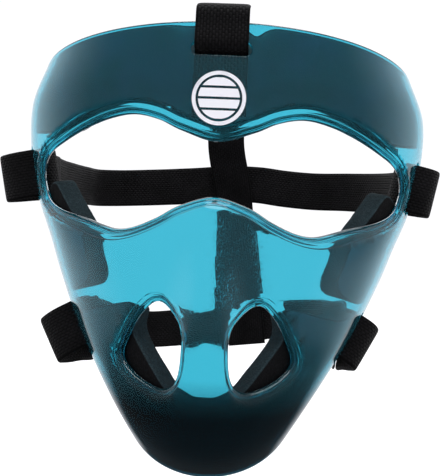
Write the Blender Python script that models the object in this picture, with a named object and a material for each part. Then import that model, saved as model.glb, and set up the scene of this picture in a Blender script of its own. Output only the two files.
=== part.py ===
"""Field hockey face mask: a clear moulded shell, foam pads behind it and elastic straps.

Metres, +Z up. The mask faces -Y and +X is its left-hand side as worn. The origin
lies on the inner face of the forehead pad, where the forehead rests.
"""

import math
from collections import namedtuple

import bmesh
import bpy
import numpy as np
from mathutils.geometry import delaunay_2d_cdt

# Shell
SHELL_HEIGHT = 0.204      # chin edge to top rim, at the centre line
SHELL_WIDTH = 0.200       # across the temples, outside
SHELL_DEPTH = 0.072       # brow to rear edge, along Y
SHELL_WALL = 0.0025
NOSE_REACH = 0.030        # nose tip in front of the brow
GIRTH = 1.25              # length round the face of a section, by its width
RIDGE_HALF_WIDTH = 0.0134  # nose ridge, centre line to where it stands a third as far out
RIM_ABOVE_SEAT = 0.036    # top rim above the origin
EDGE_FLARE = 0.0040       # how far the rear edge turns outwards
SWEEP = math.radians(80)  # turn of a section from its centre line to its rear edge
FLARE_START = 0.93        # share of the way round where the flare begins

# Openings of the shell
EYE_LIP_RADIUS = 0.0058
EYE_LIP_DEPTH = 0.0066
VENT_LIP_RADIUS = 0.0034
VENT_LIP_DEPTH = 0.0044
SLOT_GAP = 0.0060         # width of every strap slot
LIP_SLIMMING = 0.40       # how much smaller the eye lip gets at its outer corners
SLIM_START = 0.45         # share of the way round where it starts to get smaller
SLIM_END = 0.78

# Foam pads
PAD_THICKNESS = 0.010
PAD_GAP = 0.0006          # glue line between a pad and the shell
CHIN_PAD_GAP = 0.0011     # the same over the chin, where the shell bends more
PAD_CHANNEL_SIDE = 0.0035  # room beside and below the tail of the top strap
PAD_CHANNEL_SLOPE = 0.010  # how wide the sides of that hollow slope
LIP_COVER = 1.25          # by a lip's radius: a pad lies deepest up to here behind a lip
LIP_RELEASE = 3.0         # by a lip's radius: from here on it follows the shell again

# Elastic straps
STRAP_WIDTH = 0.024
STRAP_THICKNESS = 0.0018
HEAD_REACH = 0.215        # brow to the straps behind the head
CROWN_RISE = 0.027        # top strap above the top rim
TOP_TAIL = 0.030          # end of the top strap, below its slot
BACK_SWAY = 0.014         # how far the top strap wanders sideways behind the head
LOOP_REACH = 0.040        # slot to where the two layers of a side loop meet
LOOP_SINK = 0.0052        # inner layer of a side loop, behind its slot
LEAN_START = 0.3          # by LOOP_REACH: a side loop lies along its slot up to here
LEAN_END = 1.6            # by LOOP_REACH: it stands upright from here on
LOOP_BULGE = {            # outer layer of each side loop, before its slot
    ("upper", 1): 0.0105,
    ("upper", -1): 0.0165,
    ("lower", 1): 0.0085,
    ("lower", -1): 0.0155,
}

GAP = 0.0003              # between pieces that touch
CELL = 0.0063             # size of the mesh on the shell and pads
STRAP_CELL = 0.011        # length of the mesh along the straps
EDGE_ROOM = 0.5           # by the cell: inner points of the mesh keep this far from an edge

# Sections of the shell's outer face, from the chin edge to the top rim.
# up, lift: heights at the centre line and of the rear edge above it, by SHELL_HEIGHT
# width: by half of SHELL_WIDTH; front: how far it stands before the brow, by NOSE_REACH
# rear: rear edge behind the brow, by SHELL_DEPTH; point: 1 is an ellipse, more is sharper
# ridge: nose ridge, by NOSE_REACH; flare: by EDGE_FLARE
Section = namedtuple("Section", "up lift width front rear point ridge flare")
SECTIONS = [
    Section(0.000, 0.115, 0.405, -0.35, 0.60, 1.00, 0.00, 0.06),
    Section(0.055, 0.128, 0.494, 0.22, 0.71, 1.05, 0.00, 0.06),
    Section(0.130, 0.130, 0.606, 0.60, 0.80, 1.20, 0.02, 0.06),
    Section(0.230, 0.110, 0.716, 0.70, 0.87, 1.30, 0.14, 0.06),
    Section(0.350, 0.080, 0.806, 0.56, 0.93, 1.30, 0.40, 0.06),
    Section(0.475, 0.040, 0.874, 0.26, 0.97, 1.15, 0.32, 0.06),
    Section(0.620, 0.005, 0.960, 0.06, 1.00, 1.00, 0.10, 0.05),
    Section(0.745, -0.010, 1.003, 0.00, 1.00, 0.95, 0.00, 0.04),
    Section(0.870, -0.028, 1.003, 0.00, 0.99, 0.95, 0.00, 0.04),
    Section(1.000, -0.068, 0.925, -0.12, 0.94, 0.95, 0.00, 0.04),
]

# Outlines on the shell's face. round: share of the way from the centre line to the
# rear edge. up: share of the way from the chin edge to the top rim.
Spot = namedtuple("Spot", "round up")
EYE_OUTLINE = [  # the half at +X, from the dip under the brow to the hump over the nose
    Spot(0.000, 0.741),
    Spot(0.120, 0.761),
    Spot(0.200, 0.784),
    Spot(0.290, 0.796),
    Spot(0.390, 0.788),
    Spot(0.500, 0.768),
    Spot(0.620, 0.740),
    Spot(0.742, 0.707),
    Spot(0.822, 0.655),
    Spot(0.806, 0.600),
    Spot(0.700, 0.570),
    Spot(0.530, 0.552),
    Spot(0.400, 0.538),
    Spot(0.310, 0.545),
    Spot(0.210, 0.570),
    Spot(0.120, 0.602),
    Spot(0.000, 0.624),
]
VENT_OUTLINE = [  # the vent at +X, clockwise from its top
    Spot(0.190, 0.391),
    Spot(0.265, 0.361),
    Spot(0.350, 0.293),
    Spot(0.400, 0.243),
    Spot(0.360, 0.219),
    Spot(0.280, 0.206),
    Spot(0.190, 0.204),
    Spot(0.128, 0.230),
    Spot(0.106, 0.285),
    Spot(0.112, 0.345),
]

# Outlines of the foam pads, on the shell's face as well
FOREHEAD_OUTLINE = [  # the half at +X, from the top down the side and back to the middle
    Spot(0.500, 0.997),
    Spot(0.996, 0.996),
    Spot(0.996, 0.900),
    Spot(0.996, 0.785),
    Spot(0.700, 0.766),
    Spot(0.590, 0.770),
    Spot(0.500, 0.803),
    Spot(0.400, 0.827),
    Spot(0.290, 0.836),
    Spot(0.190, 0.822),
    Spot(0.110, 0.794),
    Spot(0.000, 0.776),
]
FOREHEAD_NOTCH = [  # in its top edge beside the strap, from -X to +X
    Spot(0.106, 0.997),
    Spot(0.106, 0.966),
    Spot(0.148, 0.984),
    Spot(0.135, 0.997),
]
CHEEK_OUTLINE = [  # the pad at +X, clockwise from its top corner near the eye
    Spot(0.720, 0.652),
    Spot(0.840, 0.625),
    Spot(0.870, 0.585),
    Spot(0.996, 0.560),
    Spot(0.996, 0.314),
    Spot(0.790, 0.318),
    Spot(0.660, 0.352),
    Spot(0.545, 0.388),
    Spot(0.510, 0.425),
    Spot(0.570, 0.495),
    Spot(0.645, 0.570),
]
CHIN_OUTLINE = [  # the half at +X, from the top edge over the chin round the slot to the bottom
    Spot(0.000, 0.180),
    Spot(0.090, 0.182),
    Spot(0.190, 0.195),
    Spot(0.250, 0.238),
    Spot(0.305, 0.282),
    Spot(0.352, 0.318),
    Spot(0.315, 0.358),
    Spot(0.275, 0.386),
    Spot(0.375, 0.368),
    Spot(0.490, 0.340),
    Spot(0.640, 0.306),
    Spot(0.800, 0.298),
    Spot(0.795, 0.118),
    Spot(0.996, 0.110),
    Spot(0.996, 0.002),
    Spot(0.500, 0.002),
    Spot(0.250, 0.002),
]

# Slots for the straps. along: slot along the rim (across) or along the rear edge (up)
Slot = namedtuple("Slot", "round up length along")
SLOTS = {
    "top": Slot(0.0, 0.940, 0.0275, "across"),
    "upper": Slot(0.915, 0.672, 0.0265, "up"),
    "lower": Slot(0.870, 0.214, 0.0265, "up"),
}


# Side loops, from the tail inside the shell out through the slot to the band behind.
# back: by LOOP_REACH towards the head; sunk: by LOOP_SINK; bulged: by LOOP_BULGE
Turn = namedtuple("Turn", "back sunk bulged")
LOOP_TURNS = [
    Turn(1.25, 0.00, 0.00),
    Turn(0.80, 0.25, 0.00),
    Turn(0.45, 0.80, 0.00),
    Turn(0.18, 1.00, 0.00),
    Turn(0.03, 0.62, 0.00),
    Turn(0.00, 0.00, 0.12),
    Turn(0.05, 0.00, 0.65),
    Turn(0.18, 0.00, 1.00),
    Turn(0.42, 0.00, 0.88),
    Turn(0.70, 0.00, 0.42),
    Turn(1.00, 0.00, 0.05),
]

# Runs of the bands behind the head, from +X to -X. side: by half of SHELL_WIDTH
# back: by HEAD_REACH; rise: above the band's slots, by STRAP_WIDTH
Run = namedtuple("Run", "side back rise")
BANDS = {
    "upper": [
        Run(0.94, 0.58, 0.03),
        Run(0.87, 0.75, 0.10),
        Run(0.73, 0.88, 0.16),
        Run(0.50, 0.955, 0.18),
        Run(0.32, 0.982, 0.24),
        Run(0.18, 0.996, 0.31),
        Run(-0.02, 1.000, 0.31),
        Run(-0.25, 1.000, 0.22),
        Run(-0.55, 0.998, 0.12),
        Run(-0.76, 0.985, 0.06),
        Run(-0.86, 0.945, 0.03),
        Run(-0.91, 0.840, 0.02),
        Run(-0.95, 0.640, 0.01),
    ],
    "lower": [
        Run(0.72, 0.56, -0.05),
        Run(0.68, 0.74, -0.15),
        Run(0.60, 0.90, -0.20),
        Run(0.45, 0.975, -0.26),
        Run(0.29, 0.999, -0.34),
        Run(0.10, 1.000, -0.52),
        Run(-0.27, 1.000, -0.64),
        Run(-0.50, 0.992, -0.74),
        Run(-0.64, 0.945, -0.70),
        Run(-0.71, 0.800, -0.52),
        Run(-0.75, 0.600, -0.28),
    ],
}

# Top strap over the crown and down behind the head. back: by HEAD_REACH
# rise: above the top rim, by CROWN_RISE; sway: towards +X, by BACK_SWAY
Crown = namedtuple("Crown", "back rise sway")
CROWN_RUN = [
    Crown(0.000, 0.10, 0.00),
    Crown(0.004, 0.20, 0.00),
    Crown(0.018, 0.27, 0.00),
    Crown(0.050, 0.33, 0.00),
    Crown(0.130, 0.50, -0.05),
    Crown(0.300, 0.80, -0.15),
    Crown(0.500, 1.00, -0.30),
    Crown(0.680, 0.93, -0.42),
    Crown(0.830, 0.58, -0.50),
    Crown(0.930, 0.05, -0.50),
    Crown(0.978, -0.65, -0.45),
]

# The same strap where it passes out through its slot. above: over the slot's middle, by
# SLOT_GAP. sunk: 1 behind the wall, 0 before it
Thread = namedtuple("Thread", "above sunk")
TOP_THREAD = [
    Thread(-0.62, 1.00),
    Thread(-0.24, 0.95),
    Thread(-0.05, 0.72),
    Thread(0.05, 0.21),
    Thread(0.24, 0.05),
    Thread(0.62, 0.00),
]

# And where it hangs inside both bands. down: from the upper band's middle to the lower
# one's; over: above that, by STRAP_WIDTH; sway: as above
Drop = namedtuple("Drop", "down over sway")
BACK_DROP = [
    Drop(0.0, 1.00, -0.40),
    Drop(0.0, 0.00, -0.05),
    Drop(0.5, 0.00, 0.40),
    Drop(1.0, 0.00, 0.90),
    Drop(1.0, -0.45, 1.00),
]


def smooth_through(places, values, wanted):
    """Values of a smooth curve through a table's rows; it runs on straight past the ends."""
    places = np.asarray(places, float)
    values = np.asarray(values, float)
    wanted = np.asarray(wanted, float)
    slopes = np.gradient(values, places)
    row = np.clip(np.searchsorted(places, wanted) - 1, 0, len(places) - 2)
    span = places[row + 1] - places[row]
    t = (wanted - places[row]) / span
    inside = np.clip(t, 0, 1)
    curve = (
        (2 * inside**3 - 3 * inside**2 + 1) * values[row]
        + (inside**3 - 2 * inside**2 + inside) * span * slopes[row]
        + (3 * inside**2 - 2 * inside**3) * values[row + 1]
        + (inside**3 - inside**2) * span * slopes[row + 1]
    )
    end_slope = np.where(t < 0, slopes[row], slopes[row + 1])
    return curve + (t - inside) * span * end_slope


def section_column(name, up):
    return smooth_through([s.up for s in SECTIONS], [getattr(s, name) for s in SECTIONS], up)


def brow_plane():
    """Y of the brow's outer face, which the forehead pad separates from the origin."""
    return -(SHELL_WALL + PAD_GAP + PAD_THICKNESS)


def chin_height():
    return RIM_ABOVE_SEAT - SHELL_HEIGHT


def shell_face(across, up):
    """Outer face of the shell. across runs from -1 to 1 between the rear edges."""
    across = np.asarray(across, float)
    up = np.asarray(up, float)
    turn = np.abs(across) * SWEEP
    point = section_column("point", up)
    bend = (1 - np.cos(turn) ** point) / (1 - math.cos(SWEEP) ** point)
    front = -NOSE_REACH * section_column("front", up)
    rear = SHELL_DEPTH * section_column("rear", up)
    x = SHELL_WIDTH / 2 * section_column("width", up) * np.sin(turn) / math.sin(SWEEP)
    ridge = NOSE_REACH * section_column("ridge", up) * np.exp(-((x / RIDGE_HALF_WIDTH) ** 2))
    y = brow_plane() + front + (rear - front) * bend - ridge
    z = chin_height() + SHELL_HEIGHT * (up + section_column("lift", up) * bend)
    flared = np.clip((np.abs(across) - FLARE_START) / (1 - FLARE_START), 0, 1)
    x = x + EDGE_FLARE * section_column("flare", up) * flared**1.5
    return np.stack([np.sign(across) * x, y, z], axis=-1)


def shell_slopes(across, up, step=1e-4):
    """How the outer face runs along both shares, as vectors in metres."""
    along_across = (shell_face(across + step, up) - shell_face(across - step, up)) / (2 * step)
    along_up = (shell_face(across, up + step) - shell_face(across, up - step)) / (2 * step)
    return along_across, along_up


def shell_normal(across, up):
    along_across, along_up = shell_slopes(across, up)
    normal = np.cross(along_across, along_up)
    return normal / np.linalg.norm(normal, axis=-1, keepdims=True)


def below_face(across, up, depth):
    """Point that lies depth metres behind the outer face."""
    depth = np.asarray(depth, float)[..., None]
    return shell_face(across, up) - depth * shell_normal(across, up)


def walk_on_face(across, up, vectors, steps=3):
    """Shares reached from a spot on the face by walking along a vector in metres."""
    across = np.array(across, float)
    up = np.array(up, float)
    for _ in range(steps):
        a, b = shell_slopes(across, up)
        aa = (a * a).sum(-1)
        bb = (b * b).sum(-1)
        ab = (a * b).sum(-1)
        va = (a * vectors).sum(-1) / steps
        vb = (b * vectors).sum(-1) / steps
        det = aa * bb - ab * ab
        across = across + (va * bb - vb * ab) / det
        up = up + (vb * aa - va * ab) / det
    return across, up


def closed_curve(spots, cell):
    """Spots about a cell apart on a smooth closed curve through the given ones."""
    corners = np.array([(s.round, s.up) for s in spots])
    fine = []
    for i in range(len(corners)):
        p0, p1, p2, p3 = (corners[(i + k - 1) % len(corners)] for k in range(4))
        t = np.linspace(0, 1, 24, endpoint=False)[:, None]
        fine.append(
            0.5 * (2 * p1 + (p2 - p0) * t + (2 * p0 - 5 * p1 + 4 * p2 - p3) * t**2
                   + (3 * p1 - p0 - 3 * p2 + p3) * t**3)
        )
    return even_spots(np.concatenate(fine), cell)


def even_spots(loop, cell):
    """Spreads spots evenly, by length on the shell, round a closed loop."""
    ring = np.vstack([loop, loop[:1]])
    points = shell_face(ring[:, 0], ring[:, 1])
    length = np.concatenate([[0], np.cumsum(np.linalg.norm(np.diff(points, axis=0), axis=1))])
    wanted = np.linspace(0, length[-1], round(length[-1] / cell), endpoint=False)
    return np.stack([np.interp(wanted, length, ring[:, k]) for k in range(2)], axis=-1)


def mirrored(spots):
    """Spots of the other half of a symmetric outline, in the order that closes it."""
    return [Spot(-s.round, s.up) for s in reversed(spots)]


def eye_edge(cell):
    return closed_curve(EYE_OUTLINE + mirrored(EYE_OUTLINE[1:-1]), cell)


def vent_edge(side, cell):
    spots = VENT_OUTLINE if side > 0 else mirrored(VENT_OUTLINE)
    return closed_curve(spots, cell)


def slot_edge(slot, side):
    """Rounded slot, drawn flat and walked out over the face from its centre."""
    straight = (slot.length - SLOT_GAP) / 2
    flat = []
    for end in (1, -1):
        for k in range(5):
            angle = math.pi * (k / 4 - 0.5)
            along = end * (straight + SLOT_GAP / 2 * math.cos(angle))
            beside = end * SLOT_GAP / 2 * math.sin(angle)
            flat.append((along, beside))
    centre = slot_frame(slot, side)
    vectors = np.array([along * centre.along + beside * centre.back for along, beside in flat])
    start = np.full(len(flat), side * slot.round if slot.round else 0.0)
    across, up = walk_on_face(start, np.full(len(flat), slot.up), vectors)
    return np.stack([across, up], axis=-1)


SlotFrame = namedtuple("SlotFrame", "centre out back along")


def slot_frame(slot, side):
    """Centre of a slot on the outer face, and its directions out, towards the edge and along."""
    across = side * slot.round
    a, b = shell_slopes(np.array(across), np.array(slot.up))
    out = shell_normal(np.array(across), np.array(slot.up))
    if slot.along == "up":
        along = b / np.linalg.norm(b)
        back = np.cross(along, out)
        back = back if back @ a * side > 0 else -back
    else:
        along = a / np.linalg.norm(a)
        back = np.cross(out, along)
        back = back if back @ b > 0 else -back
    return SlotFrame(shell_face(across, slot.up), out, back, along)


# An opening's edge as shares, and its lip's radius and depth at each spot of the edge
Opening = namedtuple("Opening", "edge radius depth")


def lipped_openings(cell):
    eye = eye_edge(cell)
    size = 1 - LIP_SLIMMING * (1 - fade(np.abs(eye[:, 0]), SLIM_START, SLIM_END))
    openings = [Opening(eye, EYE_LIP_RADIUS * size, EYE_LIP_DEPTH * size)]
    for side in (1, -1):
        vent = vent_edge(side, cell)
        size = np.ones(len(vent))
        openings.append(Opening(vent, VENT_LIP_RADIUS * size, VENT_LIP_DEPTH * size))
    return openings


def slot_edges():
    edges = [slot_edge(SLOTS["top"], 1)]
    for name in ("upper", "lower"):
        edges += [slot_edge(SLOTS[name], side) for side in (1, -1)]
    return edges


def away_from_opening(edge):
    """Unit vectors on the face that point from an opening's edge into the wall."""
    across, up = edge[:, 0], edge[:, 1]
    points = shell_face(across, up)
    tangent = np.roll(points, -1, axis=0) - np.roll(points, 1, axis=0)
    outward = np.cross(tangent, shell_normal(across, up))
    outward /= np.linalg.norm(outward, axis=1, keepdims=True)
    middle = points.mean(axis=0)
    if ((points - middle) * outward).sum() < 0:
        outward = -outward
    return outward


def lip_rings(opening, turns):
    """Where the skin meets a lip, and the lip's rings on its front and back face."""
    edge = opening.edge
    away = away_from_opening(edge)
    beside = opening.radius[:, None]
    start = np.stack(walk_on_face(edge[:, 0], edge[:, 1], away * beside), axis=-1)
    front, back = [], []
    for k in range(1, turns + 1):
        angle = math.pi / 2 * k / turns
        for rings, radius in ((front, opening.radius), (back, opening.radius - SHELL_WALL)):
            beside = opening.radius - radius * math.sin(angle)
            depth = opening.radius - radius * math.cos(angle)
            across, up = walk_on_face(edge[:, 0], edge[:, 1], away * beside[:, None])
            rings.append(below_face(across, up, depth))
    for rings, beside in ((front, 0.0), (back, SHELL_WALL)):
        across, up = walk_on_face(edge[:, 0], edge[:, 1], away * beside)
        rings.append(below_face(across, up, opening.depth))
    return start, front, back


def inside_loop(spots, loop):
    """Which spots lie inside a closed loop of shares."""
    x, y = spots[:, 0][:, None], spots[:, 1][:, None]
    x0, y0 = loop[:, 0], loop[:, 1]
    x1, y1 = np.roll(x0, -1), np.roll(y0, -1)
    crosses = (y0 > y) != (y1 > y)
    with np.errstate(divide="ignore", invalid="ignore"):
        at = x0 + (y - y0) / (y1 - y0) * (x1 - x0)
    return (crosses & (x < at)).sum(axis=1) % 2 == 1


def near_loop(spots, loop, reach):
    """Which spots lie within reach metres of a loop's points, on the shell."""
    points = shell_face(spots[:, 0], spots[:, 1])
    ring = shell_face(loop[:, 0], loop[:, 1])
    distance = np.linalg.norm(points[:, None] - ring[None], axis=2).min(axis=1)
    return distance < reach


def triangulate(outer, holes, inner_spots):
    """Triangles over shares between an outer loop and its holes; spots keep their order."""
    loops = [outer] + holes
    spots = np.vstack(loops + [inner_spots])
    edges = []
    first = 0
    for loop in loops:
        count = len(loop)
        edges += [(first + i, first + (i + 1) % count) for i in range(count)]
        first += count
    result = delaunay_2d_cdt([tuple(s) for s in spots], edges, [], 0, 1e-7)
    found, triangles, origins = result[0], result[2], result[3]
    place = {}
    for new, olds in enumerate(origins):
        for old in olds:
            place[old] = new
    found = np.array([tuple(f) for f in found])
    triangles = np.array([t for t in triangles])
    indices = []
    first = 0
    for loop in loops:
        indices.append([place[first + i] for i in range(len(loop))])
        first += len(loop)
    centres = found[triangles].mean(axis=1)
    keep = inside_loop(centres, found[indices[0]])
    for hole in indices[1:]:
        keep &= ~inside_loop(centres, found[hole])
    return found, triangles[keep], indices


def grid_spots(cell, low=(-1.0, 0.0), high=(1.0, 1.0)):
    """Rows of spots over a stretch of the shell, about a cell apart, each row staggered."""
    rows = max(2, round((high[1] - low[1]) * SHELL_HEIGHT / cell))
    spots = []
    for j in range(1, rows):
        up = low[1] + (high[1] - low[1]) * j / rows
        width = SHELL_WIDTH * GIRTH * float(section_column("width", up)) * (high[0] - low[0]) / 2
        columns = max(2, round(width / cell))
        shift = 0.5 if j % 2 else 0.0
        for i in range(columns):
            share = (i + 0.25 + shift) / columns
            spots.append((low[0] + (high[0] - low[0]) * share, up))
    return np.array(spots)


def rim_loop(cell):
    """Outer boundary of the shell in shares, counter-clockwise from the chin's -X corner."""
    wide = round(SHELL_WIDTH * GIRTH / cell)
    tall = round(SHELL_HEIGHT / cell)
    bottom = [(-1 + 2 * i / wide, 0.0) for i in range(wide)]
    right = [(1.0, j / tall) for j in range(tall)]
    top = [(1 - 2 * i / wide, 1.0) for i in range(wide)]
    left = [(-1.0, 1 - j / tall) for j in range(tall)]
    return np.array(bottom + right + top + left)


def join_loops(bm, loops):
    """Closes the strip of faces between each loop of vertices and the next."""
    for one, two in zip(loops, loops[1:]):
        count = len(one)
        for i in range(count):
            j = (i + 1) % count
            bm.faces.new((one[i], one[j], two[j], two[i]))


def shell_mesh(cell, turns):
    """The shell's wall: both faces, its lips, slots and rim, as one closed skin."""
    lips = [lip_rings(opening, turns) for opening in lipped_openings(cell)]
    holes = [start for start, _, _ in lips] + slot_edges()
    outer = rim_loop(cell)
    spots = grid_spots(cell)
    keep = ~near_loop(spots, outer, cell * EDGE_ROOM)
    for hole in holes:
        keep &= ~inside_loop(spots, hole) & ~near_loop(spots, hole, cell * EDGE_ROOM)
    spots, triangles, loops = triangulate(outer, holes, spots[keep])
    bm = bmesh.new()
    faces = []
    for depth in (0.0, SHELL_WALL):
        points = below_face(spots[:, 0], spots[:, 1], np.full(len(spots), depth))
        faces.append([bm.verts.new(p) for p in points])
    front, back = faces
    for a, b, c in triangles:
        bm.faces.new((front[a], front[b], front[c]))
        bm.faces.new((back[c], back[b], back[a]))
    join_loops(bm, [[front[i] for i in loops[0]], [back[i] for i in loops[0]]])
    for number, loop in enumerate(loops[1:]):
        chain = [[front[i] for i in loop]]
        if number < len(lips):
            _, front_rings, back_rings = lips[number]
            for ring in front_rings + back_rings[::-1]:
                chain.append([bm.verts.new(p) for p in ring])
        chain.append([back[i] for i in loop])
        join_loops(bm, chain)
    bmesh.ops.recalc_face_normals(bm, faces=bm.faces)
    return bm


def straight_loop(spots, cell):
    """Closed outline with straight sides, a point about every cell."""
    loop = []
    for one, two in zip(spots, spots[1:] + spots[:1]):
        ends = shell_face(np.array([one.round, two.round]), np.array([one.up, two.up]))
        count = max(1, round(float(np.linalg.norm(ends[1] - ends[0])) / cell))
        for k in range(count):
            loop.append(np.array(one) + (np.array(two) - np.array(one)) * k / count)
    return np.array(loop)


def pad_outlines(cell=CELL):
    """Each pad's edge as shares, counter-clockwise or clockwise as its table runs."""
    outlines = {
        "forehead_pad": FOREHEAD_OUTLINE + mirrored(FOREHEAD_OUTLINE[:-1]) + FOREHEAD_NOTCH,
        "cheek_pad_left": CHEEK_OUTLINE,
        "cheek_pad_right": mirrored(CHEEK_OUTLINE),
        "chin_pad": CHIN_OUTLINE + mirrored(CHIN_OUTLINE[1:]),
    }
    return {name: straight_loop(spots, cell) for name, spots in outlines.items()}


def fade(distance, full, none):
    """1 up to the distance full, 0 from the distance none, smooth between."""
    t = np.clip((none - distance) / (none - full), 0, 1)
    return t * t * (3 - 2 * t)


def lift_over_lips(across, up):
    """How much deeper a pad's outer face lies where it passes behind a lip."""
    spots = np.stack([across, up], axis=-1)
    points = shell_face(across, up)
    lift = np.zeros(len(spots))
    for opening in lipped_openings(CELL):
        edge = shell_face(opening.edge[:, 0], opening.edge[:, 1])
        distances = np.linalg.norm(points[:, None] - edge[None], axis=2)
        distance = distances.min(axis=1)
        distance[inside_loop(spots, opening.edge)] = 0
        nearest = distances.argmin(axis=1)
        radius = opening.radius[nearest]
        room = opening.depth[nearest] - SHELL_WALL
        near = fade(distance, radius * LIP_COVER, radius * LIP_RELEASE)
        lift = np.maximum(lift, room * near)
    return lift


def strap_sag():
    """How far the shell curves away behind the edges of the flat top strap."""
    top = np.array(SLOTS["top"].up)
    side, up = walk_on_face(np.array(0.0), top, np.array((STRAP_WIDTH / 2, 0.0, 0.0)))
    return float(shell_face(side, up)[1] - shell_face(np.array(0.0), top)[1])


def tail_room(across, up):
    """Hollow in the forehead pad's outer face for the tail of the top strap."""
    beside = np.abs(shell_face(across, up)[:, 0])
    below = (SLOTS["top"].up - up) * SHELL_HEIGHT
    deep = 1.0
    for distance, strap in ((beside, STRAP_WIDTH / 2), (below, TOP_TAIL)):
        level = strap + PAD_CHANNEL_SIDE
        deep = deep * fade(distance, level, level + PAD_CHANNEL_SLOPE)
    return (STRAP_THICKNESS + strap_sag() + GAP) * deep


def pad_mesh(name, loop, cell):
    """Foam sheet of even thickness behind the shell, cut square at its edge."""
    low, high = loop.min(axis=0), loop.max(axis=0)
    spots = grid_spots(cell, low, high)
    spots = spots[inside_loop(spots, loop) & ~near_loop(spots, loop, cell * EDGE_ROOM)]
    spots, triangles, loops = triangulate(loop, [], spots)
    across, up = spots[:, 0], spots[:, 1]
    glue = CHIN_PAD_GAP if name == "chin_pad" else PAD_GAP
    outer_depth = SHELL_WALL + glue + lift_over_lips(across, up)
    inner_depth = outer_depth + PAD_THICKNESS
    if name == "forehead_pad":
        outer_depth = outer_depth + tail_room(across, up)
    bm = bmesh.new()
    outer, inner = ([bm.verts.new(p) for p in below_face(across, up, d)] for d in (outer_depth, inner_depth))
    for a, b, c in triangles:
        bm.faces.new((outer[a], outer[b], outer[c]))
        bm.faces.new((inner[c], inner[b], inner[a]))
    join_loops(bm, [[outer[i] for i in loops[0]], [inner[i] for i in loops[0]]])
    bmesh.ops.recalc_face_normals(bm, faces=bm.faces)
    return bm


def ribbon_mesh(points, widths, step=STRAP_CELL):
    """Flat strap along a smooth path; widths point across the strap at each station."""
    points, widths = np.array(points), np.array(widths)
    length = np.concatenate([[0], np.cumsum(np.linalg.norm(np.diff(points, axis=0), axis=1))])
    places = [0.0]
    for one, two in zip(length, length[1:]):
        count = max(2, math.ceil((two - one) / step))
        places += [one + (two - one) * (k + 1) / count for k in range(count)]
    places = np.array(places)
    path = np.stack([smooth_through(length, points[:, k], places) for k in range(3)], axis=-1)
    across = np.stack([smooth_through(length, widths[:, k], places) for k in range(3)], axis=-1)
    along = np.gradient(path, places, axis=0)
    along /= np.linalg.norm(along, axis=1, keepdims=True)
    across -= (across * along).sum(axis=1, keepdims=True) * along
    across /= np.linalg.norm(across, axis=1, keepdims=True)
    through = np.cross(along, across)
    bm = bmesh.new()
    rings = []
    corners = ((1, 1), (-1, 1), (-1, -1), (1, -1))
    for p, w, t in zip(path, across * STRAP_WIDTH / 2, through * STRAP_THICKNESS / 2):
        rings.append([bm.verts.new(p + a * w + b * t) for a, b in corners])
    join_loops(bm, rings)
    bm.faces.new(rings[0])
    bm.faces.new(rings[-1])
    bmesh.ops.recalc_face_normals(bm, faces=bm.faces)
    return bm


def band_stations(name):
    """Points along a band from its tail at +X, round the head, to its tail at -X."""
    slot = SLOTS[name]
    start = np.array((0.0, brow_plane(), slot_frame(slot, 1).centre[2]))
    reach = np.array((SHELL_WIDTH / 2, HEAD_REACH, STRAP_WIDTH))
    run = [start + np.array(r) * reach for r in BANDS[name]]
    upright = np.array((0.0, 0.0, 1.0))
    points, widths = [], []
    for side, first in ((1, run[0]), (-1, run[-1])):
        frame = slot_frame(slot, side)
        back = first - frame.centre
        back -= (back @ frame.along) * frame.along
        back /= np.linalg.norm(back)
        out = np.cross(back, frame.along) * side
        pitch = STRAP_THICKNESS / 2 + GAP
        loop, leans = [], []
        for t in LOOP_TURNS:
            layer = 1 if t.bulged else (-1 if t.back > 0 else 0)
            push = layer * pitch + t.bulged * LOOP_BULGE[name, side] - t.sunk * (LOOP_SINK + SHELL_WALL)
            loop.append(frame.centre + back * t.back * LOOP_REACH + out * push)
            blend = fade(np.array(t.back), LEAN_START, LEAN_END)
            leans.append(frame.along * blend + upright * (1 - blend))
        points.append(loop)
        widths.append(leans)
    path = points[0] + run + points[1][::-1]
    leans = widths[0] + [upright] * len(run) + widths[1][::-1]
    return path, leans


def top_strap_stations():
    """Points along the top strap, from its tail behind the brow to the lower band."""
    slot = SLOTS["top"]
    inside = SHELL_WALL + strap_sag() + GAP + STRAP_THICKNESS / 2
    outside = -(GAP + STRAP_THICKNESS / 2)
    tail = [Thread(-TOP_TAIL / SLOT_GAP * share, 1.0) for share in (1.0, 0.5)]
    points = []
    for t in tail + TOP_THREAD:
        up = slot.up + t.above * SLOT_GAP / SHELL_HEIGHT
        depth = outside + t.sunk * (inside - outside)
        points.append(below_face(np.array(0.0), np.array(up), np.array(depth)))
    points.append(below_face(np.array(0.0), np.array(1.0), np.array(outside)))
    front = points[-1][1]
    back = brow_plane() + HEAD_REACH
    for c in CROWN_RUN:
        y = front + c.back * (back - front)
        points.append(np.array((c.sway * BACK_SWAY, y, RIM_ABOVE_SEAT + c.rise * CROWN_RISE)))
    inner_side = back - STRAP_THICKNESS - 3 * GAP
    upper = band_height("upper")
    lower = band_height("lower")
    for d in BACK_DROP:
        height = upper + d.down * (lower - upper) + d.over * STRAP_WIDTH
        points.append(np.array((d.sway * BACK_SWAY, inner_side, height)))
    return points, [np.array((1.0, 0.0, 0.0))] * len(points)


def band_height(name):
    """Height of a band's middle behind the head."""
    rise = smooth_through([-r.side for r in BANDS[name]], [r.rise for r in BANDS[name]], 0.0)
    return float(slot_frame(SLOTS[name], 1).centre[2] + rise * STRAP_WIDTH)


def new_object(name, bm, material, smooth_angle=35):
    mesh = bpy.data.meshes.new(name)
    bm.to_mesh(mesh)
    bm.free()
    mesh.materials.append(material)
    mesh.shade_smooth()
    mesh.set_sharp_from_angle(angle=math.radians(smooth_angle))
    obj = bpy.data.objects.new(name, mesh)
    bpy.context.scene.collection.objects.link(obj)
    return obj


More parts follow.
